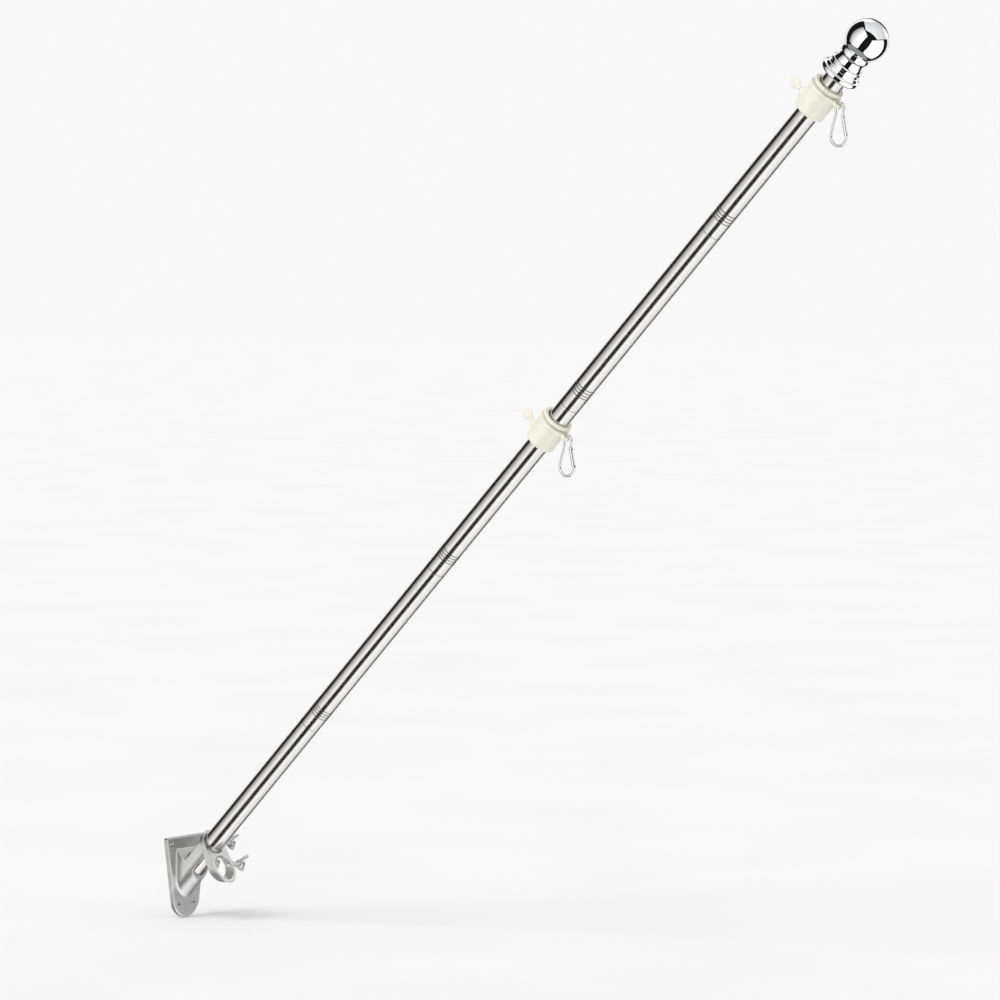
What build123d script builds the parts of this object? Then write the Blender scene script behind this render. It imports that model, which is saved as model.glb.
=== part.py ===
from build123d import *
from math import acos, asin, atan2, cos, hypot, radians, sin, sqrt, tan
import os

os.makedirs("parts", exist_ok=True)

# Millimetres. The wall plate's flat back lies in the plane X = 0, +X points away from the wall,
# +Z is up, and the origin is the middle of the plate's four screw holes.
# The pole leans out at pole_tilt above the horizontal, in the plane Y = 0.

# Pole and its fits
pole_tilt = 45.0
pole_r = 12.7
pole_wall = 0.6
pole_hole_clear = 0.55
thread_clearance = 0.05
body_gap = 0.3

# Wall plate
plate_t = 5.5
plate_half_width = 34.5
plate_top_z = 44.5
plate_corner_r = 3.0
plate_foot_r = 23.5
plate_foot_z = -30.5
plate_rim_round = 1.5
screw_hole_r = 3.0
upper_hole_y = 25.7
lower_hole_y = 13.0
hole_z = 36.0

# Socket, arms and ring head, all one casting
socket_wall = 4.15
level_z = 11.5
axis_drop = 10.0
mouth_x = 27.5
arm_front = 8.8
arm_back = -6.4
crown_p = 2.0
socket_floor = 13.0
level_floor_x = 9.0
head_tilt = 32.0
hole_web = 4.16
head_near_depth = 15.0
head_far_depth = 5.0
boss_r = 5.1
boss_height = 2.9
boss_margin = 0.2
socket_boss_p = -1.4
foot_round = 2.5
corner_round = 2.0
edge_round = 0.8
hole_bevel = 0.5

# Wing bolts
bolt_r = 3.0
bolt_head_across = 10.0
bolt_head_h = 4.8
bolt_reach = 13.5
bolt_end_r = 3.1
wing_sheet = 1.3
wing_thickness = 1.5
wing_width = 4.95
wing_spread = 2.5
wing_rise = 8.0
wing_lean = 57.0
wing_bulge = 0.5
wing_seat = 1.0
wing_overhang = 0.3
clasp_rim = 0.6
wing_gap = 0.2
wing_corner_r = 0.8
wing_turn = 24.0

# Pole sections, counted from the bracket
section_length = 271.0
top_section = 232.0
pole_seat_gap = 0.5
finial_plug = 26.0
groove_count = 4
groove_pitch = 3.9
groove_start = 20.6
groove_r = 0.9
groove_depth = 0.45
spigot_down = 28.0
spigot_up = 40.0
seam_chamfer = 0.25

# Collars
collar_clear = 1.0
collar_wall = 4.25
collar_h = 27.3
collar_offset = 0.7
neck_wall = 1.1
cap_wall = 4.15
cap_t = 3.4
cap_rise = 10.4
ring_clear = 0.4
ring_wall = 4.0
ring_t = 4.0
arm_hole_out = 1.8
arm_hole_r = 2.9
arm_reach = 8.1
arm_width = 12.0
thumb_z = 9.5
thumb_boss_r = 6.15
thumb_boss_out = 3.3
thumb_r = 2.5
thumb_length = 19.2
thumb_neck_r = 2.0
thumb_tip_gap = 0.5
paddle_r = 6.45
paddle_t = 3.0
collar_tops = (15.0, 525.0)

# Clips
wire_r = 1.6
eye_r = 5.4
gate_r = 2.05
eye_sink = 6.0
clip_hang = 45.0
pin_r = 0.7
tongue_t = 1.4
nose_gap = 0.8
gate_heel = 1.5

pole_hole_r = pole_r + pole_hole_clear
socket_r = pole_hole_r + socket_wall
head_r = socket_r
collar_bore_r = pole_r + collar_clear
collar_r = collar_bore_r + collar_wall
neck_r = collar_bore_r + neck_wall
cap_r = collar_bore_r + cap_wall
collar_total = collar_h + cap_rise
ring_r = neck_r + ring_clear + ring_wall
arm_hole_x = ring_r + arm_hole_out
arm_tip = ring_r + arm_reach
tilt = radians(pole_tilt)
cross_x = level_z + axis_drop
cross_point = Vector(cross_x, 0, level_z)
along = Vector(cos(tilt), 0, sin(tilt))
outward = Vector(sin(tilt), 0, -cos(tilt))

# Frame on the pole axis where both pole positions cross: x downhill, y level, z up the pole
cross_frame = Plane(origin=cross_point, x_dir=outward, z_dir=along)
level_frame = Plane(origin=cross_point, x_dir=(0, 0, -1), z_dir=(1, 0, 0))
seat_point = cross_point - along * (socket_floor - pole_seat_gap)
pole_frame = Plane(origin=seat_point, x_dir=outward, z_dir=along)


def on_pole(shape):
    return pole_frame.location * shape


def edges_on(shape, plane):
    # Edges whose ends and middle all lie in one plane
    def flat(edge):
        spots = [edge @ 0, edge @ 0.5, edge @ 1]
        return all(abs((spot - plane.origin).dot(plane.z_dir)) < 0.02 for spot in spots)
    return shape.edges().filter_by(flat)


def save(name, shape):
    parts = list(shape.solids()) if not isinstance(shape, Solid) else [shape]
    solid = parts[0] if len(parts) == 1 else Compound(children=parts)
    solid.label = name
    export_step(solid, f"parts/{name}.step")
    print(name, len(parts), round(sum(p.volume for p in parts), 1))


# Wall bracket casting
rise = plate_top_z - plate_foot_z
slope = atan2(plate_half_width, rise) - asin(plate_foot_r / hypot(plate_half_width, rise))
touch = (plate_foot_r * cos(slope), plate_foot_z - plate_foot_r * sin(slope))
sides = Polyline((touch[0], touch[1]), (plate_half_width, plate_top_z), (-plate_half_width, plate_top_z),
                 (-touch[0], touch[1]))
foot_arc = ThreePointArc((-touch[0], touch[1]), (0, plate_foot_z - plate_foot_r), (touch[0], touch[1]))
outline = make_face([*sides.edges(), foot_arc])
outline = fillet(outline.vertices().group_by(Axis.Y)[-1], plate_corner_r)
wall_plane = Plane(origin=(0, 0, 0), x_dir=(0, 1, 0), z_dir=(1, 0, 0))
plate = extrude(wall_plane * outline, amount=plate_t)
plate = fillet(plate.faces().sort_by(Axis.X)[-1].edges(), plate_rim_round)

trough = Circle(socket_r) + Pos(-40, 0) * Rectangle(80, 2 * socket_r)
trunk = extrude(cross_frame * trough, amount=60, both=True)
trunk &= Pos(2 + 50, 0, 0) * Box(100, 100, 300)

head_nx = sin(radians(head_tilt))
head_nz = cos(radians(head_tilt))
hole_spacing = (hole_web + pole_hole_r / cos(radians(head_tilt))
                + pole_hole_r / cos(radians(pole_tilt - head_tilt)))
head_near_x = cross_x + hole_spacing * (head_nx + head_nz)
head_far = (head_near_x - hole_spacing * head_nx, level_z + hole_spacing * head_nz)
near_low = (head_near_x + head_r * tan(radians(head_tilt)), level_z - head_r)
near_back = (near_low[0] - head_near_depth, near_low[1])
far_side = head_r / cos(radians(pole_tilt - head_tilt))
far_top = (head_far[0] - far_side * head_nx, head_far[1] + far_side * head_nz)
far_back = (far_top[0] - head_far_depth * cos(tilt), far_top[1] - head_far_depth * sin(tilt))
side_plane = Plane(origin=(0, 0, 0), x_dir=(1, 0, 0), z_dir=(0, -1, 0))
head_face = make_face(Polyline(near_low, near_back, far_back, far_top, close=True))
head = extrude(side_plane * head_face, amount=head_r, both=True)
near_keep = level_frame.location * Cylinder(head_r, 300)
near_keep += Pos(0, 0, level_z + 100) * Box(400, 100, 200)
far_keep = cross_frame.location * (Cylinder(head_r, 300) + Pos(100, 0, 0) * Box(200, 100, 300))
head = (head & near_keep) & far_keep
head_front = Plane(origin=(near_low[0], 0, near_low[1]), x_dir=(0, 1, 0), z_dir=(head_nz, 0, head_nx))
head_axis = Axis((0, 0, 0), (head_nz, 0, head_nx))
head = fillet(head.faces().sort_by(head_axis)[-1].edges(), edge_round)
head = fillet(head.faces().sort_by(head_axis)[0].edges(), edge_round)

# Arms run from the trunk up into the back of the ring head
sunk = 2.0
back_low = (near_back[0] + sunk, near_back[1])
back_high = (far_back[0] + sunk, far_back[1])
under_head = make_face(Polyline(back_low, back_high, (-60, back_high[1]), (-60, -120), (back_low[0], -120),
                                close=True))
below = extrude(side_plane * under_head, amount=60, both=True)
trunk &= below
crown = cross_frame.location * (Pos(arm_back - 60, 0, crown_p + 60) * Box(120, 100, 120))
lip = cross_frame.location * (Pos(arm_front + 60, 0, 0) * Box(120, 100, 200))
lip &= Pos(mouth_x + 60, 0, 0) * Box(120, 100, 300)
trunk = (trunk - crown) - lip
casting = plate + trunk + head

# Cast edges: a round at the foot of the trunk, in the two inner corners, and along the free rims
plate_front = Plane(origin=(plate_t, 0, 0), z_dir=(1, 0, 0))
mouth_plane = Plane(origin=(mouth_x, 0, 0), z_dir=(1, 0, 0))
arm_back_plane = Plane(origin=cross_point + outward * arm_back, x_dir=along, z_dir=outward)
foot = edges_on(casting, plate_front).filter_by(lambda e: abs(e.center().Y) < socket_r + 1)
foot = foot.filter_by(lambda e: plate_foot_z - 1 < e.center().Z < plate_top_z - 10)
casting = fillet(foot, foot_round)
mouth_corner = edges_on(casting, mouth_plane).filter_by(Axis.Y)
crown_corner = edges_on(casting, arm_back_plane).filter_by(Axis.Y).sort_by(Axis.Z)[0]
casting = fillet(mouth_corner + [crown_corner], corner_round)
mouth_rim = edges_on(casting, mouth_plane).filter_by(GeomType.ELLIPSE)
casting = fillet(mouth_rim, edge_round)
arm_rims = edges_on(casting, arm_back_plane).filter_by(lambda e: e.length > 12 and abs(e.center().Y) > 1)
casting = fillet(arm_rims, edge_round)
# Bosses for the wing bolts, all on the +Y side
ring_back = (near_back[0] - far_back[0]) / (far_back[1] - near_back[1])
near_bolt_x = (head_near_x + near_back[0] - (level_z - near_back[1]) * ring_back) / 2
far_bolt_x = head_far[0] - (boss_r + boss_margin) / cos(radians(pole_tilt - head_tilt)) * cos(tilt)
bolt_spots = [
    (cross_x + socket_boss_p * cos(tilt), level_z + socket_boss_p * sin(tilt), socket_r),
    (near_bolt_x, level_z, head_r),
    (far_bolt_x, far_bolt_x - axis_drop, head_r),
]
for x, z, side in bolt_spots:
    boss = Pos(x, (side - 3 + side + boss_height) / 2, z) * Rot(90, 0, 0) * Cylinder(boss_r, boss_height + 3)
    casting += fillet(boss.edges().sort_by(Axis.Y)[-1], edge_round)

bore = cross_frame.location * (Pos(0, 0, 150 - socket_floor) * Cylinder(pole_hole_r, 300))
level_bore = Pos(level_floor_x + 75, 0, level_z) * Rot(0, 90, 0) * Cylinder(pole_hole_r, 150)
casting = casting - bore - level_bore
screw_holes = [(side * upper_hole_y, hole_z) for side in (1, -1)]
screw_holes += [(side * lower_hole_y, -hole_z) for side in (1, -1)]
for y, z in screw_holes:
    casting -= Pos(plate_t / 2, y, z) * Rot(0, 90, 0) * Cylinder(screw_hole_r, plate_t * 3)
for x, z, side in bolt_spots:
    casting -= Pos(x, side, z) * Rot(90, 0, 0) * Cylinder(bolt_r + thread_clearance, 24)
ring_rims = edges_on(casting, head_front).filter_by(lambda e: abs(e.center().Y) < 1 and e.length > 60)
hole_rims = casting.edges().filter_by(GeomType.CIRCLE).filter_by(
    lambda e: abs(e.radius - screw_hole_r) < 0.01 and abs(e.center().X - plate_t) < 0.01)
bolt_rims = casting.edges().filter_by(GeomType.CIRCLE).filter_by(
    lambda e: abs(e.radius - bolt_r - thread_clearance) < 0.01 and e.center().Y > socket_r + 1)
casting = chamfer(ring_rims + hole_rims + bolt_rims, hole_bevel)
save("bracket_casting", casting)

# Wing bolts: a screw with a hexagon head, and a stamped pair of wings clasped under the head
for number, (x, z, side) in enumerate(bolt_spots, start=1):
    tip_y = pole_r + body_gap
    head_y = side + boss_height + bolt_reach
    spot = Plane(origin=(x, tip_y, z), x_dir=(0, 0, 1), z_dir=(0, 1, 0)).location
    length = head_y - tip_y
    top = length + bolt_head_h
    shank = Pos(0, 0, length / 2) * Cylinder(bolt_r, length)
    shank = chamfer(shank.edges().sort_by(Axis.Z)[0], 0.6)
    sides = RegularPolygon(bolt_head_across / 2, 6, major_radius=False, rotation=wing_turn - 30)
    sides = Plane.XY.offset(length) * sides
    hexagon = extrude(sides, amount=bolt_head_h)
    turned = Pos(0, 0, (length + top) / 2) * Cylinder(bolt_head_across / 2 + 0.5, bolt_head_h)
    turned = chamfer(turned.edges().sort_by(Axis.Z)[-1], 1.0)
    groove = Pos(0, 0, top) * (Cylinder(bolt_end_r + 0.7, 1.0) - Cylinder(bolt_end_r, 2.0))
    screw = shank + (hexagon & turned) - groove
    save(f"wing_bolt_{number}_screw", spot * screw)

    clasp_r = bolt_head_across / 2 + clasp_rim
    clasp = Pos(0, 0, length - wing_sheet / 2) * Cylinder(clasp_r, wing_sheet)
    clasp -= Pos(0, 0, length) * Cylinder(bolt_r, 20)
    inner = bolt_head_across / 2 + wing_gap
    root = (inner - wing_seat, 0)
    low = (clasp_r + wing_overhang, -wing_sheet)
    inner_tip = (inner + wing_spread, bolt_head_h + wing_rise)
    lean = radians(wing_lean)
    outer_tip = (inner_tip[0] + wing_width * sin(lean), inner_tip[1] - wing_width * cos(lean))
    chord = (outer_tip[0] - low[0], outer_tip[1] - low[1])
    bulge = wing_bulge / hypot(chord[0], chord[1])
    flank = (low[0] + chord[0] / 2 + chord[1] * bulge, low[1] + chord[1] / 2 - chord[0] * bulge)
    ear = [Line((root[0], -wing_sheet), root), Line(root, (inner, 0)),
           Line((inner, 0), (inner, bolt_head_h)),
           Line((inner, bolt_head_h), inner_tip), Line(inner_tip, outer_tip),
           ThreePointArc(outer_tip, flank, low), Line(low, (root[0], -wing_sheet))]
    ear_plane = Plane(origin=(0, 0, length), x_dir=(1, 0, 0), z_dir=(0, -1, 0))
    ear = ear_plane * make_face(ear)
    ear = extrude(ear, amount=wing_thickness / 2, both=True)
    tip_corners = ear.edges().filter_by(Axis.Y).group_by(Axis.Z)[-2:]
    ear = fillet(tip_corners[0] + tip_corners[1], wing_corner_r)
    for turn in (wing_turn, wing_turn + 180):
        clasp += Rot(0, 0, turn) * ear
    save(f"wing_bolt_{number}_wings", spot * clasp)

# Pole sections, spigots and finial
seams = [section_length * k for k in range(1, 5)]
finial_base = seams[-1] + top_section
pole_top = finial_base + finial_plug
starts = [0.0] + seams
ends = seams + [pole_top]
inner_r = pole_r - pole_wall
neck_in = inner_r - groove_depth


def groove_heights(seam):
    return [seam + groove_start + k * groove_pitch for k in range(groove_count)]


def tube(z0, z1, grooves):
    half = sqrt(groove_r ** 2 - (groove_r - groove_depth) ** 2)
    c = seam_chamfer
    edges = [Line((inner_r, z0), (pole_r - c, z0)), Line((pole_r - c, z0), (pole_r, z0 + c))]
    at = (pole_r, z0 + c)
    for h in grooves:
        edges.append(Line(at, (pole_r, h - half)))
        edges.append(ThreePointArc((pole_r, h - half), (pole_r - groove_depth, h), (pole_r, h + half)))
        at = (pole_r, h + half)
    edges.append(Line(at, (pole_r, z1 - c)))
    edges.append(Line((pole_r, z1 - c), (pole_r - c, z1)))
    edges.append(Line((pole_r - c, z1), (inner_r, z1)))
    at = (inner_r, z1)
    for h in reversed(grooves):
        edges.append(Line(at, (inner_r, h + half)))
        edges.append(ThreePointArc((inner_r, h + half), (neck_in, h), (inner_r, h - half)))
        at = (inner_r, h - half)
    edges.append(Line(at, (inner_r, z0)))
    return revolve(Plane.XZ * make_face(edges), Axis.Z)


for number, (z0, z1) in enumerate(zip(starts, ends), start=1):
    save(f"pole_section_{number}", on_pole(tube(z0, z1, groove_heights(z0) if z0 > 0 else [])))
for number, seam in enumerate(seams, start=1):
    grooves = groove_heights(seam)
    z = [seam - spigot_down, grooves[0] - 2.0, grooves[-1] + 2.0, seam + spigot_up]
    spigot = Pos(0, 0, (z[0] + z[1]) / 2) * Cylinder(inner_r, z[1] - z[0])
    spigot += Pos(0, 0, (z[1] + z[2]) / 2) * Cylinder(neck_in - 0.05, z[2] - z[1])
    spigot += Pos(0, 0, (z[2] + z[3]) / 2) * Cylinder(inner_r, z[3] - z[2])
    spigot -= Pos(0, 0, seam) * Cylinder(neck_in - 1.2, 200)
    save(f"pole_spigot_{number}", on_pole(spigot))

ball_r = 23.3
ball_z = 50.2
lip_r = 16.6
lip_z = ball_z - sqrt(ball_r ** 2 - lip_r ** 2)
profile = [
    Line((pole_r, 0), (21.2, 0)),
    ThreePointArc((21.2, 0), (22.7, 1.2), (23.0, 3.4)),
    ThreePointArc((23.0, 3.4), (22.4, 5.2), (20.9, 6.3)),
    ThreePointArc((20.9, 6.3), (19.6, 8.0), (19.4, 10.0)),
    ThreePointArc((19.4, 10.0), (18.2, 11.2), (18.2, 12.4)),
    ThreePointArc((18.2, 12.4), (19.1, 14.3), (18.3, 16.2)),
    ThreePointArc((18.3, 16.2), (16.2, 18.8), (15.6, 22.0)),
    ThreePointArc((15.6, 22.0), (15.9, 25.2), (16.9, 28.0)),
    ThreePointArc((16.9, 28.0), (17.3, 30.2), (16.9, 32.2)),
    Line((16.9, 32.2), (lip_r, lip_z)),
    ThreePointArc((lip_r, lip_z), (ball_r, ball_z), (0, ball_z + ball_r)),
    Line((0, ball_z + ball_r), (0, 0)),
    Line((0, 0), (pole_r, 0)),
]
finial = revolve(Plane.XZ * make_face(profile), Axis.Z)
finial -= Pos(0, 0, finial_plug / 2) * Cylinder(pole_r, finial_plug)
finial -= Pos(0, 0, 20) * Cylinder(pole_r - 1.5, 40)
finial -= Pos(0, 0, ball_z) * Sphere(ball_r - 2.5)
save("finial", on_pole(Pos(0, 0, finial_base) * finial))

# Collars with swivel ring, thumb screw and clip
eye_x = arm_hole_x + eye_r * cos(radians(eye_sink))
ring_z = collar_h + body_gap
eye_z = ring_z + ring_t / 2 - eye_r * sin(radians(eye_sink))


def clip_path(nose):
    # Wire path in the clip's own plane, eye centre at 0, 0, drawn with its long axis 34 degrees below level:
    # lead from the hinge, eye, a small kink, the straight spine and the bow that ends at the nose
    neck = Vector(7.4, 0.3)
    arc_end = atan2(neck.Y, neck.X) + acos(eye_r / neck.length)
    arc_low = radians(262)
    start = (eye_r * cos(arc_end), eye_r * sin(arc_end))
    low = (eye_r * cos(arc_low), eye_r * sin(arc_low))
    lead = Line(neck, start)
    loop = ThreePointArc(start, (-eye_r, 0), low)
    kink = JernArc(low, loop % 1, 4.0, -41)
    spine = Line(kink @ 1, (kink @ 1) + (kink % 1) * 22.6)
    low_bow = TangentArc(spine @ 1, (24.6, -27.2), tangent=spine % 1)
    side_bow = TangentArc(low_bow @ 1, (34.0, -18.6), tangent=low_bow % 1)
    end_bow = TangentArc(side_bow @ 1, nose, tangent=side_bow % 1)
    return [lead, loop, kink, spine, low_bow, side_bow, end_bow]


def make_clip():
    hinge = Vector(9.4, -1.2, 0)
    nose = Vector(30.6, -9.9, 0)
    run = (nose - hinge).normalized()
    path = Wire(clip_path(nose))
    wire = sweep(Plane(origin=path @ 0, z_dir=path % 0) * Circle(wire_r), path=path)
    gate_plane = Plane(origin=hinge, x_dir=run, z_dir=(0, 0, 1))
    length = (nose - hinge).length
    tongue = Pos(-1.6, 0.2, 0) * Box(3.2, 1.9, tongue_t) + Cylinder(1.3, tongue_t)
    tongue -= Cylinder(pin_r + 0.08, 10)
    catch = Pos(length - 0.6, 0, 0) * Box(3.6, 2.2, tongue_t)
    frame = wire + gate_plane.location * tongue + gate_plane.location * catch
    gate = Rot(0, 90, 0) * Cylinder(gate_r, length - nose_gap + gate_heel)
    gate = Pos((length - nose_gap - gate_heel) / 2, 0, 0) * gate
    gate -= Pos(-0.5, 0, 0) * Box(6.0, 10, tongue_t + 2 * body_gap)
    gate -= Pos(length - 1.0, 0, 0) * Box(4.0, 10, tongue_t + 2 * body_gap)
    gate -= Cylinder(pin_r, 10)
    pin = Cylinder(pin_r, 2 * gate_r + 0.2)
    return frame, gate_plane.location * gate, gate_plane.location * pin, hinge


frame_flat, gate_flat, pin_flat, hinge_flat = make_clip()
photo_hang = 34.0
stand = Plane(origin=(eye_x, 0, eye_z), x_dir=(1, 0, 0), z_dir=(0, -1, 0)).location

for number, top in enumerate(collar_tops, start=1):
    base = Pos(-collar_offset, 0, finial_base - top - collar_total)
    body = Pos(0, 0, collar_h / 2) * Cylinder(collar_r, collar_h)
    boss_out = collar_r + thumb_boss_out
    boss_root = collar_bore_r + 0.3
    boss = Pos(-(boss_out + boss_root) / 2, 0, thumb_z) * Rot(0, -90, 0)
    boss *= Cylinder(thumb_boss_r, boss_out - boss_root)
    boss = chamfer(boss.edges().sort_by(Axis.X)[0], 1.1)
    body = chamfer(body.edges().sort_by(Axis.Z)[0], 0.6)
    body = body + boss
    body -= Pos(0, 0, 20) * Cylinder(collar_bore_r, 80)
    body -= Pos(-20, 0, thumb_z) * Rot(0, 90, 0) * Cylinder(thumb_r + thread_clearance, 24)
    save(f"collar_{number}_body", on_pole(base * body))

    cap = Pos(0, 0, (collar_h + collar_total) / 2) * Cylinder(neck_r, collar_total - collar_h)
    flange = Pos(0, 0, collar_total - cap_t / 2) * Cylinder(cap_r, cap_t)
    flange = fillet(flange.edges().group_by(Axis.Z)[-1] + flange.edges().group_by(Axis.Z)[0], 0.6)
    cap = cap + flange
    cap -= Pos(0, 0, 20) * Cylinder(collar_bore_r, 80)
    save(f"collar_{number}_cap", on_pole(base * cap))

    arm = Pos((arm_tip - arm_width / 2) / 2, 0) * Rectangle(arm_tip - arm_width / 2, arm_width)
    arm += Pos(arm_tip - arm_width / 2, 0) * Circle(arm_width / 2)
    ring = Circle(ring_r) + arm - Circle(neck_r + ring_clear) - Pos(arm_hole_x, 0) * Circle(arm_hole_r)
    ring = extrude(Plane.XY.offset(ring_z) * ring, amount=ring_t)
    save(f"swivel_ring_{number}", on_pole(base * ring))

    screw_tip = pole_r - collar_offset + thumb_tip_gap
    face = boss_out
    neck_start = face + 1.0
    paddle_x = face + thumb_length - paddle_r
    shaft = Rot(0, 90, 0) * Cylinder(thumb_r, neck_start - screw_tip)
    shaft = Pos(-(screw_tip + neck_start) / 2, 0, thumb_z) * shaft
    flat = Pos(-paddle_x, 0) * Circle(paddle_r)
    flat += Pos(-(paddle_x + neck_start) / 2, 0) * Rectangle(paddle_x - neck_start, 2 * thumb_neck_r)
    hollow = [v for v in flat.vertices() if neck_start + 1 < -v.X < paddle_x]
    flat = fillet(hollow, 5.0)
    paddle = extrude(Plane.XZ.offset(-paddle_t / 2) * flat, amount=paddle_t)
    broad = paddle.faces().filter_by(Axis.Y).edges()
    paddle = fillet(broad.filter_by(lambda e: -e.center().X > neck_start + 0.1), 1.0)
    neck_cone = Pos(-neck_start - 2.0, 0, thumb_z) * Rot(0, -90, 0) * Cone(thumb_r, thumb_neck_r - 0.2, 4.0)
    thumb = shaft + Pos(0, 0, thumb_z) * paddle + neck_cone
    save(f"thumb_screw_{number}", on_pole(base * thumb))

    hang = base * stand * Rot(0, 0, photo_hang - clip_hang)
    save(f"clip_{number}_frame", on_pole(hang * frame_flat))
    save(f"clip_{number}_gate", on_pole(hang * gate_flat))
    save(f"clip_{number}_pin", on_pole(hang * pin_flat))
    pivot = (pole_frame.location * (base * stand)).position
    gate_at = (pole_frame.location * (hang * Pos(hinge_flat))).position
    print("clip", number, "eye", pivot, "gate hinge", gate_at)

print("bolt spots", bolt_spots)
print("seat", seat_point, "head far", head_far, "near", head_near_x)
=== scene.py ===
import math

import bmesh
import bpy
import numpy as np
from mathutils import Matrix, Vector


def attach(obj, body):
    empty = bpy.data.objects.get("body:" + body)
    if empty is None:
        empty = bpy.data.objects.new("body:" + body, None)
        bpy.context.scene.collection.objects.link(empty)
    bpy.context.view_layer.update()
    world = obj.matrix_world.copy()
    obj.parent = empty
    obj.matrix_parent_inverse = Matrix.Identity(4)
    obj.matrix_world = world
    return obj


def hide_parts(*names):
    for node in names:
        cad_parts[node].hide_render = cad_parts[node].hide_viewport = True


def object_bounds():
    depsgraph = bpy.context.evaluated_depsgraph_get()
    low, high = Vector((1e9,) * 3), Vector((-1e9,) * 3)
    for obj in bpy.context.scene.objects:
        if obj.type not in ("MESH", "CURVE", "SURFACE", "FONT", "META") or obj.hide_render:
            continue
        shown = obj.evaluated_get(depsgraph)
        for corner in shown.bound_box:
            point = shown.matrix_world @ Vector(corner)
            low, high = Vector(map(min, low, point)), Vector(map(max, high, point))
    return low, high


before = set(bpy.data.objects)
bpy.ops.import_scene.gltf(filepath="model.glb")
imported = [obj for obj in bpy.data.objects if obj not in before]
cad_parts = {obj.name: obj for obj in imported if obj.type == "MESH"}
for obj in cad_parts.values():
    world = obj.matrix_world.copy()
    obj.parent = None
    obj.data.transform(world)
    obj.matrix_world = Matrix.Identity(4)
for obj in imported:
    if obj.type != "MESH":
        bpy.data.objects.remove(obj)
cadLow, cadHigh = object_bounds()

mm = 0.001
sharpAngle = math.radians(32)

# where the pole stands: its foot, and its three directions (downhill, level, up the pole)
poleAxis = {"foot": (0.0126612, 0.0, 0.0026612), "lean": 45.0}
lean = math.radians(poleAxis["lean"])
upPole = np.array([math.cos(lean), 0.0, math.sin(lean)])
downhill = np.array([math.sin(lean), 0.0, -math.cos(lean)])
level = np.array([0.0, 1.0, 0.0])
foot = np.array(poleAxis["foot"])


def link(material, a, b):
    material.node_tree.links.new(a, b)


def newMaterial(name, metallic=0.0):
    # empty material with one surface shader, and the coordinates of its object
    material = bpy.data.materials.new(name)
    material.use_nodes = True
    nodes = material.node_tree.nodes
    nodes.clear()
    out = nodes.new("ShaderNodeOutputMaterial")
    shader = nodes.new("ShaderNodeBsdfPrincipled")
    shader.inputs["Metallic"].default_value = metallic
    link(material, shader.outputs["BSDF"], out.inputs["Surface"])
    return material, shader, nodes.new("ShaderNodeTexCoord").outputs["Object"]


def mappedPlace(material, at, turn, scale):
    # coordinates turned and stretched
    node = material.node_tree.nodes.new("ShaderNodeMapping")
    node.inputs["Rotation"].default_value = turn
    node.inputs["Scale"].default_value = scale
    link(material, at, node.inputs["Vector"])
    return node.outputs["Vector"]


def separated(material, vector):
    node = material.node_tree.nodes.new("ShaderNodeSeparateXYZ")
    link(material, vector, node.inputs["Vector"])
    return node.outputs["X"], node.outputs["Y"], node.outputs["Z"]


def noise(material, vector, scale, detail, rough):
    node = material.node_tree.nodes.new("ShaderNodeTexNoise")
    node.inputs["Scale"].default_value = scale
    node.inputs["Detail"].default_value = detail
    node.inputs["Roughness"].default_value = rough
    link(material, vector, node.inputs["Vector"])
    return node.outputs["Fac"]


def graded(material, shader, inputName, fac, stops):
    # shader input that follows fac through stops of (position, colour or grey)
    node = material.node_tree.nodes.new("ShaderNodeValToRGB")
    band = node.color_ramp
    while len(band.elements) < len(stops):
        band.elements.new(0.5)
    for element, (position, colour) in zip(band.elements, stops):
        grey = (colour,) * 3 if isinstance(colour, (int, float)) else colour
        element.position = position
        element.color = (*grey, 1.0)
    link(material, fac, node.inputs["Fac"])
    link(material, node.outputs["Color"], shader.inputs[inputName])


def bump(material, shader, height, strength, distance, before=None):
    # relief on the surface, laid over an earlier one
    node = material.node_tree.nodes.new("ShaderNodeBump")
    node.inputs["Strength"].default_value = strength
    node.inputs["Distance"].default_value = distance
    link(material, height, node.inputs["Height"])
    if before is not None:
        link(material, before, node.inputs["Normal"])
    link(material, node.outputs["Normal"], shader.inputs["Normal"])
    return node.outputs["Normal"]


def maths(material, operation, first, second=None, third=None):
    node = material.node_tree.nodes.new("ShaderNodeMath")
    node.operation = operation
    for socket, value in zip(node.inputs, (first, second, third)):
        if isinstance(value, (int, float)):
            socket.default_value = value
        elif value is not None:
            link(material, value, socket)
    return node.outputs["Value"]


def ranged(material, value, fromLow, fromHigh, toLow, toHigh):
    # straight line between two values, held at both ends
    node = material.node_tree.nodes.new("ShaderNodeMapRange")
    ends = {"From Min": fromLow, "From Max": fromHigh, "To Min": toLow, "To Max": toHigh}
    for name, number in ends.items():
        node.inputs[name].default_value = number
    link(material, value, node.inputs["Value"])
    return node.outputs["Result"]


# in every finish: a noise is (scale per metre, detail, roughness), a bump is (strength, depth in metres),
# and tone and rough are stops of (noise, value)
castLook = {"tone": [(0.40, (0.36, 0.365, 0.36)), (0.72, (0.84, 0.845, 0.835))],
            "rough": [(0.3, 0.29), (0.7, 0.44)], "grain": (3700.0, 2.0, 0.6), "patch": (90.0, 3.0, 0.55),
            "patchShare": 0.22, "wave": (220.0, 2.0, 0.5), "partingHalf": 0.0004, "plateFront": 0.0060,
            "lineTop": -0.024, "lineFoot": -0.044, "lineStrength": 0.6, "rim": 0.0275, "rimHalf": 0.0007,
            "partingBump": (0.7, 0.0003), "grainBump": (0.4, 0.0002), "waveBump": (0.25, 0.0006)}


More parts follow.
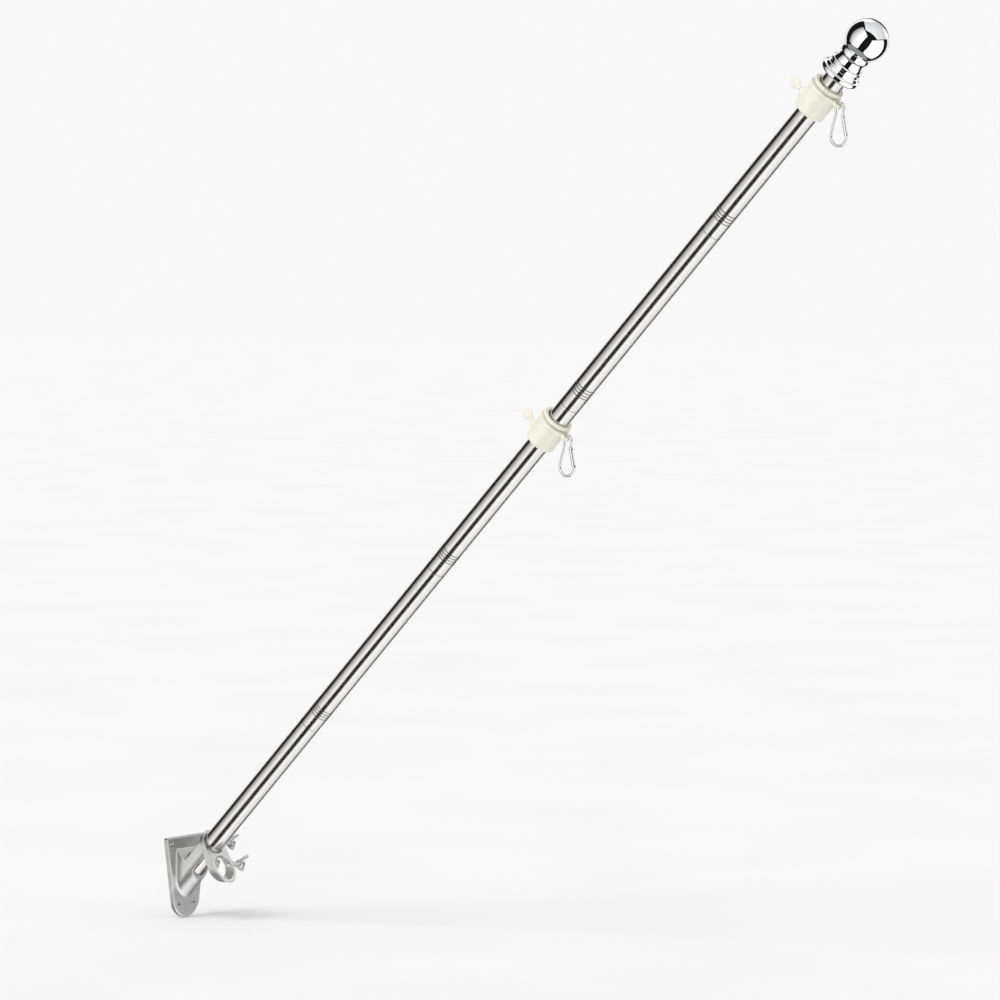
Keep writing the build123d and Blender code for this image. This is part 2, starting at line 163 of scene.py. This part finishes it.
def castAluminium():
    # sand-cast and tumbled: salt and pepper grain over slow patches;
    # the mould's parting line is left on plate and rim
    look = castLook
    material, shader, at = newMaterial("castAluminium", metallic=1.0)
    grain = noise(material, at, *look["grain"])
    patch = noise(material, at, *look["patch"])
    mottle = maths(material, "MULTIPLY_ADD", patch, look["patchShare"], grain)
    graded(material, shader, "Base Color", mottle, look["tone"])
    graded(material, shader, "Roughness", grain, look["rough"])
    x, y, z = separated(material, at)
    ridge = ranged(material, maths(material, "ABSOLUTE", y), look["partingHalf"], 0.0, 0.0, 1.0)
    onPlate = maths(material, "LESS_THAN", x, look["plateFront"])
    onPlate = maths(material, "MULTIPLY", onPlate, maths(material, "LESS_THAN", z, look["lineTop"]))
    fade = ranged(material, z, look["lineFoot"], look["lineTop"], 0.0, look["lineStrength"])
    onPlate = maths(material, "MULTIPLY", onPlate, fade)
    onRim = maths(material, "COMPARE", x, look["rim"], look["rimHalf"])
    ridge = maths(material, "MULTIPLY", ridge, maths(material, "MAXIMUM", onPlate, onRim))
    first = bump(material, shader, ridge, *look["partingBump"])
    second = bump(material, shader, grain, *look["grainBump"], before=first)
    bump(material, shader, noise(material, at, *look["wave"]), *look["waveBump"], before=second)
    return material


# grooves and seams repeat with the pole's sections: distances from each seam, in metres
steelLook = {"colour": (0.62, 0.61, 0.60), "rough": [(0.3, 0.16), (0.7, 0.24)],
             "hairStretch": (260.0, 260.0, 2600.0), "hair": (1.0, 2.0, 0.6), "hairBump": (0.06, 0.00005),
             "haze": (45.0, 2.0, 0.5), "hazeShare": 0.12, "unshadedTone": 0.92, "paintedShadeShare": 0.62,
             "section": 0.271, "grooves": 4, "grooveStart": 0.0206,
             "groovePitch": 0.0039, "grooveHalf": 0.00085, "grooveCore": 0.45, "seamHalf": 0.0007,
             "seamCore": 0.4, "seamPaintedShade": 0.7, "plainBelow": 0.2}


def brushedSteel():
    # satin tube: hair-fine rings round the pole, with painted shade darkening the rolled grooves and seams
    look = steelLook
    material, shader, at = newMaterial("brushedSteel", metallic=1.0)
    upright = (0.0, -lean, 0.0)
    rings = mappedPlace(material, at, upright, look["hairStretch"])
    hair = noise(material, rings, *look["hair"])
    haze = noise(material, at, *look["haze"])
    height = separated(material, mappedPlace(material, at, upright, (1.0, 1.0, 1.0)))[2]
    rise = maths(material, "SUBTRACT", height, float(foot @ upPole))
    fromSeam = maths(material, "MODULO", rise, look["section"])
    fromFirst = maths(material, "SUBTRACT", fromSeam, look["grooveStart"])
    toGroove = maths(material, "PINGPONG", fromFirst, look["groovePitch"] / 2)
    groove = ranged(material, toGroove, look["grooveHalf"], look["grooveHalf"] * look["grooveCore"], 0.0, 1.0)
    grooveMiddle = look["grooveStart"] + (look["grooves"] - 1) / 2 * look["groovePitch"]
    grooved = maths(material, "COMPARE", fromSeam, grooveMiddle, look["grooves"] / 2 * look["groovePitch"])
    toSeam = maths(material, "PINGPONG", rise, look["section"] / 2)
    seamCore = look["seamHalf"] * look["seamCore"]
    seam = ranged(material, toSeam, look["seamHalf"], seamCore, 0.0, look["seamPaintedShade"])
    # painted shade: the base colour is darkened in the grooves and seams to stand in for the shade that falls
    # in these recesses
    paintedShadeMask = maths(material, "MAXIMUM", maths(material, "MULTIPLY", groove, grooved), seam)
    paintedShadeMask = maths(material, "MULTIPLY", paintedShadeMask, maths(material, "GREATER_THAN", rise, look["plainBelow"]))
    unshaded = maths(material, "MULTIPLY_ADD", haze, look["hazeShare"], look["unshadedTone"])
    tone = maths(material, "SUBTRACT", unshaded, maths(material, "MULTIPLY", paintedShadeMask, look["paintedShadeShare"]))
    graded(material, shader, "Base Color", tone, [(0.0, 0.0), (1.0, look["colour"])])
    graded(material, shader, "Roughness", hair, look["rough"])
    bump(material, shader, hair, *look["hairBump"])
    return material


chromeLook = {"colour": (0.86, 0.865, 0.875), "rough": [(0.45, 0.015), (0.8, 0.06)],
              "smear": (130.0, 4.0, 0.6), "dent": (260.0, 1.0, 0.4), "dentBump": (0.02, 0.0001)}


def mirrorChrome():
    look = chromeLook
    material, shader, at = newMaterial("mirrorChrome", metallic=1.0)
    shader.inputs["Base Color"].default_value = (*look["colour"], 1.0)
    graded(material, shader, "Roughness", noise(material, at, *look["smear"]), look["rough"])
    bump(material, shader, noise(material, at, *look["dent"]), *look["dentBump"])
    return material


nylonLook = {"tone": [(0.3, (0.86, 0.845, 0.71)), (0.7, (0.91, 0.90, 0.785))],
             "rough": [(0.3, 0.24), (0.7, 0.36)], "cloud": (70.0, 3.0, 0.6),
             "fine": (1500.0, 2.0, 0.5), "fineBump": (0.08, 0.0001),
             "lightIn": 0.25, "lightReach": (0.004, 0.0035, 0.0022)}


def ivoryNylon():
    # moulded nylon that lets a little light in
    look = nylonLook
    material, shader, at = newMaterial("ivoryNylon")
    graded(material, shader, "Base Color", noise(material, at, *look["cloud"]), look["tone"])
    shader.inputs["Subsurface Weight"].default_value = look["lightIn"]
    shader.inputs["Subsurface Radius"].default_value = look["lightReach"]
    shader.inputs["Subsurface Scale"].default_value = 1.0
    fine = noise(material, at, *look["fine"])
    graded(material, shader, "Roughness", fine, look["rough"])
    bump(material, shader, fine, *look["fineBump"])
    return material


zincLook = {"tone": [(0.35, (0.66, 0.67, 0.68)), (0.6, (0.90, 0.905, 0.905))],
            "rough": [(0.3, 0.40), (0.7, 0.24)], "bloom": (420.0, 4.0, 0.65),
            "grain": (1400.0, 2.0, 0.5), "grainBump": (0.1, 0.0001)}


def brightZinc():
    look = zincLook
    material, shader, at = newMaterial("brightZinc", metallic=1.0)
    bloom = noise(material, at, *look["bloom"])
    graded(material, shader, "Base Color", bloom, look["tone"])
    graded(material, shader, "Roughness", bloom, look["rough"])
    bump(material, shader, noise(material, at, *look["grain"]), *look["grainBump"])
    return material


wireLook = {"colour": (0.80, 0.805, 0.81), "rough": [(0.35, 0.05), (0.75, 0.14)],
            "drawn": (380.0, 3.0, 0.6), "drawnBump": (0.03, 0.0001)}


def brightWire():
    look = wireLook
    material, shader, at = newMaterial("brightWire", metallic=1.0)
    shader.inputs["Base Color"].default_value = (*look["colour"], 1.0)
    drawn = noise(material, at, *look["drawn"])
    graded(material, shader, "Roughness", drawn, look["rough"])
    bump(material, shader, drawn, *look["drawnBump"])
    return material


cast = castAluminium()
steel = brushedSteel()
chrome = mirrorChrome()
nylon = ivoryNylon()
zinc = brightZinc()
wire = brightWire()

finishes = {"bracket_casting": cast, "wing_bolt": zinc, "pole_section": steel, "pole_spigot": nylon,
            "finial": chrome, "collar": nylon, "swivel_ring": nylon, "thumb_screw": nylon, "clip": wire}

for name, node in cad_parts.items():
    node.data.materials.clear()
    node.data.materials.append(next(finishes[start] for start in finishes if name.startswith(start)))
print("finishes given to the CAD pieces")


def onPole(points):
    # pole's own x (downhill), y (level), z (up the pole) in metres, put into the room
    return foot + points[..., :1] * downhill + points[..., 1:2] * level + points[..., 2:] * upPole


def turned(profile, sides):
    # profile (distance, radius) turned round its own axis: three arrays, along, across and through
    angle = 2 * np.pi * np.arange(sides) / sides
    profile = np.asarray(profile)
    along = np.repeat(profile[:, :1], sides, axis=1)
    return along, profile[:, 1:] * np.cos(angle), profile[:, 1:] * np.sin(angle)


def gridMesh(name, grid, wrap=False):
    # rows of closed rings joined by quads; the last row meets the first again, or one face closes each end
    rows, across = grid.shape[:2]
    ring = np.arange(across)
    nextInRing = np.roll(ring, -1)
    start = (np.arange(rows if wrap else rows - 1) * across)[:, None]
    after = (start + across) % (rows * across)
    quads = np.stack([start + ring, start + nextInRing, after + nextInRing, after + ring], axis=-1)
    quads = quads.reshape(-1, 4)
    loops = [quads.ravel()]
    sizes = [np.full(len(quads), 4)]
    if not wrap:
        loops += [ring[::-1], (rows - 1) * across + ring]
        sizes += [[across], [across]]
    loops = np.concatenate(loops)
    sizes = np.concatenate(sizes)
    firstLoops = np.concatenate([[0], np.cumsum(sizes)[:-1]])
    mesh = bpy.data.meshes.new(name)
    mesh.vertices.add(rows * across)
    mesh.vertices.foreach_set("co", grid.reshape(-1).astype(np.float32))
    mesh.loops.add(len(loops))
    mesh.loops.foreach_set("vertex_index", loops.astype(np.int32))
    mesh.polygons.add(len(sizes))
    mesh.polygons.foreach_set("loop_start", firstLoops.astype(np.int32))
    mesh.update(calc_edges=True)
    mesh.validate()
    mesh.polygons.foreach_set("use_smooth", np.ones(len(mesh.polygons), dtype=bool))
    mesh.set_sharp_from_angle(angle=sharpAngle)
    return mesh


def joinMeshes(name, meshes):
    # several grids made one mesh
    joined = bmesh.new()
    for mesh in meshes:
        joined.from_mesh(mesh)
        bpy.data.meshes.remove(mesh)
    mesh = bpy.data.meshes.new(name)
    joined.to_mesh(mesh)
    joined.free()
    mesh.set_sharp_from_angle(angle=sharpAngle)
    return mesh


def addPiece(name, mesh, material, body, stands=()):
    piece = bpy.data.objects.new(name, mesh)
    bpy.context.scene.collection.objects.link(piece)
    mesh.materials.append(material)
    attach(piece, body)
    if stands:
        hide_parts(*stands)


# spots are each bolt's axis in x and z; a corner of the hexagon stands at cornerTurn;
# disc is the groove and disc on the head, as (height over the head, radius)
boltLook = {"spots": [(20.510, 10.510), (61.405, 11.5), (45.964, 35.964)], "tip": 13.0, "shank": 20.8,
            "radius": 3.0, "tipCut": 0.6, "pitch": 1.0, "threadDepth": 0.58, "sides": 36, "rowsPerTurn": 8,
            "cornerTurn": -6.0, "headAcross": 10.0, "headCorner": 5.5, "headHeight": 4.8, "chamfer": 1.0,
            "chamferRows": (0.0, 0.25, 0.5, 0.8, 1.0),
            "disc": [(0.0, 3.8), (-0.5, 3.7), (-0.5, 3.15), (0.1, 3.05), (0.25, 2.75), (0.31, 0.9)]}


def atBolt(points, spot):
    # bolt's own x points up, y away from the wall, and z along its length
    x, z = spot
    return mm * np.stack([x + points[..., 1], boltLook["tip"] + points[..., 2], z + points[..., 0]], axis=-1)


def threadDip(turns, rise, pitch, slope=1.4, flat=0.2):
    # 0 on the crest and 1 at the root of a right-handed thread, with a small flat on both
    phase = np.mod(rise / pitch - turns, 1.0)
    return np.clip(slope * np.abs(2.0 * phase - 1.0) - flat, 0.0, 1.0)


def threadedBolt():
    # radius over angle and height: thread on the shank,
    # then a hexagon cut by a turned chamfer, groove and disc
    look = boltLook
    turns = np.arange(look["sides"]) / look["sides"]
    angle = 2 * np.pi * turns + math.radians(look["cornerTurn"])
    rows = int(look["shank"] / look["pitch"] * look["rowsPerTurn"]) + 1
    shank = np.linspace(0.0, look["shank"], rows)[:, None]
    thread = look["radius"] - look["threadDepth"] * threadDip(turns, shank, look["pitch"])
    thread = np.minimum(thread, look["radius"] - look["tipCut"] + shank)
    hexagon = look["headAcross"] / 2 / np.cos(np.mod(2 * np.pi * turns, np.pi / 3) - np.pi / 6)
    top = look["shank"] + look["headHeight"]
    chamferFoot = top - look["chamfer"]
    chamfer = chamferFoot + look["chamfer"] * np.array(look["chamferRows"])
    headRise = np.concatenate([[look["shank"]], chamfer])[:, None]
    head = np.minimum(hexagon, look["headCorner"] - np.maximum(headRise - chamferFoot, 0.0))
    disc = np.array(look["disc"])
    rise = np.repeat(np.concatenate([shank, headRise, top + disc[:, :1]]), look["sides"], axis=1)
    radius = np.concatenate([thread, head, np.repeat(disc[:, 1:], look["sides"], axis=1)])
    return np.stack([radius * np.cos(angle), radius * np.sin(angle), rise], axis=-1)


# inner and outer are a wing's outline: distance from the bolt's axis, and height over the clasp;
# rim is the sheet's rolled rim with the bolt's thin flange on it: height along the bolt, and radius
wingLook = {"turn": 24.0, "inner": [(4.9, -1.0), (5.15, 0.0), (5.2, 4.8), (7.7, 12.8)],
            "outer": [(5.9, -1.25), (9.32, 4.17), (11.85, 10.1)], "rows": 60, "thickRoot": 1.7,
            "thickTip": 1.45, "corner": 0.3, "cornerStep": 22.5, "tipCorner": 0.8, "hollow": 0.1,
            "hollowFade": 1.5, "hollowPoints": 7, "clasp": 20.8, "rimSides": 48,
            "rim": [(19.5, 3.06), (19.5, 5.2), (19.6, 5.48), (19.85, 5.62), (20.08, 5.56), (20.18, 5.38),
                    (20.28, 5.5), (20.48, 5.6), (20.7, 5.5), (20.84, 5.2), (20.84, 3.06)]}


def claspRing():
    # rim's profile turned round the bolt
    along, across, through = turned(wingLook["rim"], wingLook["rimSides"])
    return np.stack([across, through, along], axis=-1)


def alongLine(points, share, soften=0.05, samples=11):
    # points along a line of straight pieces, by its length, softened by a short running mean
    points = np.array(points)
    steps = np.linalg.norm(np.diff(points, axis=0), axis=1)
    length = np.concatenate([[0], np.cumsum(steps)])
    reach = np.clip(share[:, None] + np.linspace(-soften, soften, samples), 0, 1) * length[-1]
    return np.stack([np.interp(reach, length, points[:, k]).mean(axis=1) for k in (0, 1)], axis=-1)


def roundOff(toEnd, radius):
    # what a quarter circle of this radius takes off at a distance from the end
    return radius * (1 - np.sqrt(1 - (1 - np.clip(toEnd / radius, 0, 1)) ** 2))


def wingEar(turn):
    # flat bar section whose two edges follow the outline's inner line and outer arc from the clasp to the tip
    look = wingLook
    s = np.sin(np.linspace(0, np.pi / 2, look["rows"]))
    t = s[:, None]
    inner = alongLine(look["inner"], s)
    low, middle, tip = (np.array(point) for point in look["outer"])
    bend = 2 * middle - (low + tip) / 2
    outer = (1 - t) ** 2 * low + 2 * t * (1 - t) * bend + t ** 2 * tip
    toTip = (1 - s) * np.linalg.norm(tip - low)
    across = outer - inner
    half = np.linalg.norm(across, axis=1) / 2
    middleLine = (inner + outer) / 2
    across = across / (2 * half[:, None])
    c = look["corner"]
    thick = (look["thickRoot"] + (look["thickTip"] - look["thickRoot"]) * s) / 2 - roundOff(toTip, c)
    half = half - roundOff(toTip, look["tipCorner"])
    quarter = np.radians(np.arange(0, 91, look["cornerStep"]))
    flat = np.linspace(1, -1, look["hollowPoints"] + 2)[1:-1]
    sideways = []
    through = []
    for side, face in ((1, 1), (-1, 1), (-1, -1), (1, -1)):
        sweep = quarter if side * face > 0 else quarter[::-1]
        sideways.append(side * (half[:, None] - c + c * np.cos(sweep)))
        through.append(face * (thick[:, None] - c + c * np.sin(sweep)))
        if side == face:
            dish = look["hollow"] * (1 - flat ** 2) * np.clip(toTip / look["hollowFade"], 0, 1)[:, None]
            sideways.append(side * flat * (half[:, None] - c))
            through.append(face * (thick[:, None] - dish))
    sideways = np.concatenate(sideways, axis=1)
    through = np.concatenate(through, axis=1)
    radial = middleLine[:, :1] + sideways * across[:, :1]
    height = look["clasp"] + middleLine[:, 1:] + sideways * across[:, 1:]
    a = math.radians(turn)
    x = radial * math.cos(a) - through * math.sin(a)
    y = radial * math.sin(a) + through * math.cos(a)
    return np.stack([x, y, height], axis=-1)


for number, spot in enumerate(boltLook["spots"], start=1):
    bolt = f"wing_bolt_{number}"
    thread = gridMesh(f"bolt_{number}_thread", atBolt(threadedBolt(), spot))
    addPiece(f"bolt_{number}_thread", thread, zinc, bolt, [f"{bolt}_screw"])
    parts = [gridMesh("clasp", atBolt(claspRing(), spot), wrap=True)]
    for turn in (wingLook["turn"], wingLook["turn"] + 180):
        parts.append(gridMesh("ear", atBolt(wingEar(turn), spot)))
    wings = joinMeshes(f"bolt_{number}_wings", parts)
    addPiece(f"bolt_{number}_wings", wings, zinc, bolt, [f"{bolt}_wings"])
print("wing bolts: threads, heads and wings")

# collars stand this far up the pole, a little off its axis
collarLook = {"heights": [1263.3, 753.3], "offset": -0.7, "thumbHeight": 9.5}

# lengths run along the screw from the collar's middle; near is how far before the paddle's centre
# the flare meets its circle, as a share of its radius; square draws the flat paddle's section to a rectangle
thumbLook = {"tip": 12.5, "tipCut": 0.6, "tipCutLength": 0.7, "threadRadius": 2.45, "threadDepth": 0.28,
             "pitch": 0.9, "rowsPerTurn": 8, "threadEnd": 25.4, "threadFade": 0.6, "neckWidth": 2.15,
             "neckStart": 0.3, "neckLength": 0.8, "flatStart": 0.6, "flatLength": 4.5, "flarePower": 2.2,
             "near": 0.62, "square": 1.3, "paddleCentre": 34.0, "paddleRadius": 6.45, "paddleHalf": 1.5,
             "rim": 1.4, "paddleRows": 48, "sides": 40}


def signedPower(wave, power):
    return np.sign(wave) * np.abs(wave) ** power


def thumbScrew():
    # superellipse carried along the screw: round and threaded, then drawn into a neck
    # and flattened into a round paddle
    look = thumbLook
    tip, threadEnd, radius = look["tip"], look["threadEnd"], look["threadRadius"]
    end = look["paddleCentre"] + look["paddleRadius"]
    threadRows = int((threadEnd - tip) / look["pitch"] * look["rowsPerTurn"])
    threadPart = np.linspace(tip, threadEnd, threadRows, endpoint=False)
    paddlePart = end - (end - threadEnd) * (0.5 + 0.5 * np.cos(np.linspace(0, np.pi, look["paddleRows"])))
    s = np.concatenate([threadPart, paddlePart])[:, None]
    turns = np.arange(look["sides"]) / look["sides"]
    angle = 2 * np.pi * turns
    flat = np.clip((s - threadEnd + look["flatStart"]) / look["flatLength"], 0, 1)
    flat = flat * flat * (3 - 2 * flat)
    chord = np.sqrt(np.maximum(look["paddleRadius"] ** 2 - (s - look["paddleCentre"]) ** 2, 0.0))
    near = look["paddleCentre"] - look["paddleRadius"] * look["near"]
    flare = np.clip((s - threadEnd) / (near - threadEnd), 0, 1)
    atNear = math.sqrt(1 - look["near"] ** 2) * look["paddleRadius"]
    flared = look["neckWidth"] + (atNear - look["neckWidth"]) * flare ** look["flarePower"]
    width = np.where(s < near, flared, chord)
    necked = np.clip((s - threadEnd + look["neckStart"]) / look["neckLength"], 0, 1)
    width = width + (radius - width) * (1 - necked)
    rim = np.clip((end - s) / look["rim"], 0, 1)
    half = (radius + (look["paddleHalf"] - radius) * flat) * np.sqrt(1 - (1 - rim) ** 2)
    power = 2.0 / (2.0 + look["square"] * flat)
    dip = look["threadDepth"] * threadDip(turns, s, look["pitch"])
    dip = dip * np.clip((threadEnd - s) / look["threadFade"], 0, 1)
    tipCut = np.clip((s - tip) / look["tipCutLength"], 0, 1) * look["tipCut"] - look["tipCut"]
    across = (width - dip + tipCut) * signedPower(np.cos(angle), power)
    through = (half - dip + tipCut) * signedPower(np.sin(angle), power)
    return np.repeat(s, look["sides"], axis=1), across, through


for number, height in enumerate(collarLook["heights"], start=1):
    out, up, sideways = thumbScrew()
    rise = height + collarLook["thumbHeight"] + up
    points = np.stack([collarLook["offset"] - out, sideways, rise], axis=-1)
    mesh = gridMesh(f"thumb_{number}_moulded", onPole(mm * points))
    screw = f"thumb_screw_{number}"
    addPiece(f"thumb_{number}_moulded", mesh, nylon, screw, [screw])
print("thumb screws: threads and paddles")

# eye is the ring's hole, out from the collar's axis and up from its foot;
# hinge and nose are the gate's two ends, from the eye
clipLook = {"eye": (26.3704, 29.0355), "turn": -11.0, "hinge": (9.4, -1.2), "nose": (30.6, -9.9),
            "gateRadius": 2.05, "bandHalf": 0.95, "bandSwell": 0.13, "bandPower": 0.7, "bandSink": 0.04,
            "bandDepth": 0.2, "bandRows": 25, "bandSides": 40, "pinRadius": 0.7, "rivetRadius": 1.2,
            "rivetDome": 0.5, "headFoot": 0.35, "headTop": 0.1, "domeRows": 8, "domeEnd": 0.05,
            "rivetSides": 28}


def atClip(points, height):
    # clip's own plane x, y, and z towards its -Y side, hung on its ring, put on the pole
    turn = math.radians(clipLook["turn"])
    x = points[..., 0] * math.cos(turn) - points[..., 1] * math.sin(turn)
    y = points[..., 0] * math.sin(turn) + points[..., 1] * math.cos(turn)
    eyeX, eyeZ = clipLook["eye"]
    hung = np.stack([collarLook["offset"] + eyeX + x, -points[..., 2], height + eyeZ + y], axis=-1)
    return onPole(mm * hung)


hinge = np.array(clipLook["hinge"])
run = np.array(clipLook["nose"]) - hinge
run = run / np.linalg.norm(run)
cross = np.array([-run[1], run[0]])


def atHinge(alongGate, acrossGate, through):
    # distances along and across the gate from its hinge, in the clip's plane
    flat = hinge + alongGate[..., None] * run + acrossGate[..., None] * cross
    return np.concatenate([flat, through[..., None]], axis=-1)


def gateBands():
    # rolled bands at the hinge end of the gate: two small swells of one turned profile
    look = clipLook
    t = np.linspace(0, 1, look["bandRows"])
    half = look["bandHalf"]
    swell = look["bandSwell"] * np.abs(np.sin(2 * np.pi * t)) ** look["bandPower"] - look["bandSink"]
    inside = look["gateRadius"] - look["bandDepth"]
    outer = np.stack([half * (2 * t - 1), look["gateRadius"] + swell], axis=-1)
    profile = np.concatenate([outer, [[half, inside], [-half, inside]]])
    along, across, through = turned(profile, look["bandSides"])
    return atHinge(along, across, through)


def gateRivet():
    # shank between two domed heads, turned round the hinge
    look = clipLook
    reach = look["gateRadius"]
    pin = look["pinRadius"]
    headRadius = look["rivetRadius"]
    foot = reach - look["headFoot"]
    top = reach - look["headTop"]
    dome = np.linspace(0, np.pi / 2, look["domeRows"])[1:]
    head = np.stack([top + look["rivetDome"] * np.sin(dome), headRadius * np.cos(dome)], axis=-1)
    head[-1, 1] = look["domeEnd"]
    side = np.concatenate([[[0.0, pin], [foot, pin], [foot, headRadius], [top, headRadius]], head])
    along, across, through = turned(np.concatenate([side[::-1] * [-1, 1], side[1:]]), look["rivetSides"])
    return atHinge(across, through, along)


for number, height in enumerate(collarLook["heights"], start=1):
    gate = f"clip_{number}_gate"
    bands = gridMesh(f"clip_{number}_bands", atClip(gateBands(), height), wrap=True)
    addPiece(f"clip_{number}_bands", bands, wire, gate)
    rivet = gridMesh(f"clip_{number}_rivet", atClip(gateRivet(), height))
    addPiece(f"clip_{number}_rivet", rivet, wire, gate, [f"clip_{number}_pin"])
print("clips: gate bands and rivets")

studio = {"floorDrop": 0.0006, "floorSize": 80.0, "floorX": 0.5, "middle": (0.5, 0.0, 0.49), "reach": 5.0,
          "backdrop": 0.94, "fill": 0.70, "reflected": 0.012, "reflectedColour": (0.85, 0.9, 1.0)}
cameraLook = {"azimuth": 38.0, "elevation": 3.0, "distance": 4.6, "lens": 146.0, "aim": (0.488, 0.0, 0.468),
              "sensor": 36.0, "clip": (0.05, 200.0)}
floorLook = {"patch": (3.0, 2.0, 0.5), "tone": [(0.3, 0.955), (0.7, 0.975)], "rough": 0.9}


def flatPanel(name, centre, size, material):
    # level square round its centre
    half = size / 2
    corners = np.array([(half, half, 0), (-half, half, 0), (-half, -half, 0), (half, -half, 0)])
    mesh = bpy.data.meshes.new(name)
    mesh.from_pydata([tuple(p) for p in corners + np.array(centre)], [], [(0, 1, 2, 3)])
    panel = bpy.data.objects.new(name, mesh)
    bpy.context.scene.collection.objects.link(panel)
    mesh.materials.append(material)
    return panel


def paleFloor():
    material, shader, at = newMaterial("paleFloor")
    graded(material, shader, "Base Color", noise(material, at, *floorLook["patch"]), floorLook["tone"])
    shader.inputs["Roughness"].default_value = floorLook["rough"]
    shader.inputs["Specular IOR Level"].default_value = 0.0
    return material


floorCentre = (studio["floorX"], 0.0, cadLow.z - studio["floorDrop"])
floor = flatPanel("studioFloor", floorCentre, studio["floorSize"], paleFloor())
# the metal mirrors the soft boxes below the floor too
floor.visible_glossy = False
floor.visible_shadow = False

world = bpy.data.worlds.new("paleStudio")
bpy.context.scene.world = world
world.use_nodes = True
worldNodes = world.node_tree.nodes
worldNodes.clear()


def background(colour, strength):
    node = worldNodes.new("ShaderNodeBackground")
    node.inputs["Color"].default_value = (*colour, 1.0)
    node.inputs["Strength"].default_value = strength
    return node.outputs["Background"]


def mixed(fac, first, second):
    node = worldNodes.new("ShaderNodeMixShader")
    world.node_tree.links.new(fac, node.inputs["Fac"])
    world.node_tree.links.new(first, node.inputs[1])
    world.node_tree.links.new(second, node.inputs[2])
    return node.outputs["Shader"]


# one brightness lights the surfaces, one shows in mirrors, and one is seen behind the pole
white = (1, 1, 1)
path = worldNodes.new("ShaderNodeLightPath")
worldOut = worldNodes.new("ShaderNodeOutputWorld")
lit = background(white, studio["fill"])
mirrored = background(studio["reflectedColour"], studio["reflected"])
unseen = mixed(path.outputs["Is Glossy Ray"], lit, mirrored)
surround = mixed(path.outputs["Is Camera Ray"], unseen, background(white, studio["backdrop"]))
world.node_tree.links.new(surround, worldOut.inputs["Surface"])


def sight(azimuth, elevation):
    # direction from the pole towards a place seen at these angles
    a = math.radians(azimuth)
    e = math.radians(elevation)
    return Vector((math.sin(a) * math.cos(e), -math.cos(a) * math.cos(e), math.sin(e)))


# soft boxes stand along the pole, turned round it from the side that the camera sees
toCamera = sight(cameraLook["azimuth"], cameraLook["elevation"])
alongPole = Vector(upPole)
front = (toCamera - alongPole * toCamera.dot(alongPole)).normalized()
right = alongPole.cross(front)


def softBox(name, around, up, width, height, glow, across=(1.0, 1.0), along=(1.0, 1.0), colour=white):
    # width and height are half angles in degrees;
    # the cloth's glow changes evenly from side to side and end to end
    a = math.radians(around)
    e = math.radians(up)
    away = (front * math.cos(a) + right * math.sin(a)) * math.cos(e) + alongPole * math.sin(e)
    side = alongPole.cross(away).normalized()
    data = bpy.data.lights.new(name, "AREA")
    data.shape = "RECTANGLE"
    data.size = 2 * studio["reach"] * math.tan(math.radians(width))
    data.size_y = 2 * studio["reach"] * math.tan(math.radians(height))
    data.energy = glow * math.pi * data.size * data.size_y
    data.color = colour
    data.use_nodes = True
    nodes = data.node_tree.nodes
    place = nodes.new("ShaderNodeNewGeometry")
    split = nodes.new("ShaderNodeSeparateXYZ")
    data.node_tree.links.new(place.outputs["Parametric"], split.inputs["Vector"])
    both = nodes.new("ShaderNodeMath")
    both.operation = "MULTIPLY"
    for socket, axis, ends in ((both.inputs[0], "X", across), (both.inputs[1], "Y", along)):
        fade = nodes.new("ShaderNodeMapRange")
        fade.inputs["To Min"].default_value, fade.inputs["To Max"].default_value = ends
        data.node_tree.links.new(split.outputs[axis], fade.inputs["Value"])
        data.node_tree.links.new(fade.outputs["Result"], socket)
    data.node_tree.links.new(both.outputs["Value"], nodes["Emission"].inputs["Strength"])
    lamp = bpy.data.objects.new(name, data)
    bpy.context.scene.collection.objects.link(lamp)
    lamp.matrix_world = Matrix((side, away.cross(side), away)).transposed().to_4x4()
    lamp.location = Vector(studio["middle"]) + away * studio["reach"]
    lamp.visible_camera = False
    lamp.visible_diffuse = False


boxLook = {
    "leftWindow": {"around": -51, "up": 0, "width": 37, "height": 46, "glow": 1.0, "across": (0.3, 1.8),
                   "colour": (1.0, 0.985, 0.96)},
    "rightWindow": {"around": 69, "up": 0, "width": 42, "height": 46, "glow": 1.3, "across": (1.3, 0.85)},
    "topWindow": {"around": 0, "up": 111, "width": 44, "height": 46, "glow": 0.8, "along": (0.7, 1.3)},
    "footWindow": {"around": 0, "up": -80, "width": 40, "height": 34, "glow": 0.3},
    "leftBack": {"around": -150, "up": 0, "width": 14, "height": 40, "glow": 1.0},
    "rightBack": {"around": 154, "up": 0, "width": 12, "height": 40, "glow": 1.0}}
sunLook = {"energy": 1.1, "spread": 35, "leftOfCamera": 42, "height": 52}

for name, look in boxLook.items():
    softBox(name, **look)

sunData = bpy.data.lights.new("softSun", "SUN")
sunData.energy = sunLook["energy"]
sunData.angle = math.radians(sunLook["spread"])
sun = bpy.data.objects.new("softSun", sunData)
bpy.context.scene.collection.objects.link(sun)
sun.rotation_mode = "QUATERNION"
toSun = sight(cameraLook["azimuth"] - sunLook["leftOfCamera"], sunLook["height"])
sun.rotation_quaternion = toSun.to_track_quat("Z", "Y")
sun.visible_glossy = False

cameraData = bpy.data.cameras.new("photoCamera")
cameraData.lens = cameraLook["lens"]
cameraData.sensor_width = cameraLook["sensor"]
cameraData.clip_start, cameraData.clip_end = cameraLook["clip"]
camera = bpy.data.objects.new("photoCamera", cameraData)
bpy.context.scene.collection.objects.link(camera)
camera.location = Vector(cameraLook["aim"]) + toCamera * cameraLook["distance"]
camera.rotation_mode = "QUATERNION"
camera.rotation_quaternion = toCamera.to_track_quat("Z", "Y")
bpy.context.scene.camera = camera
bpy.context.scene.view_settings.view_transform = "Standard"
print("studio and camera ready")
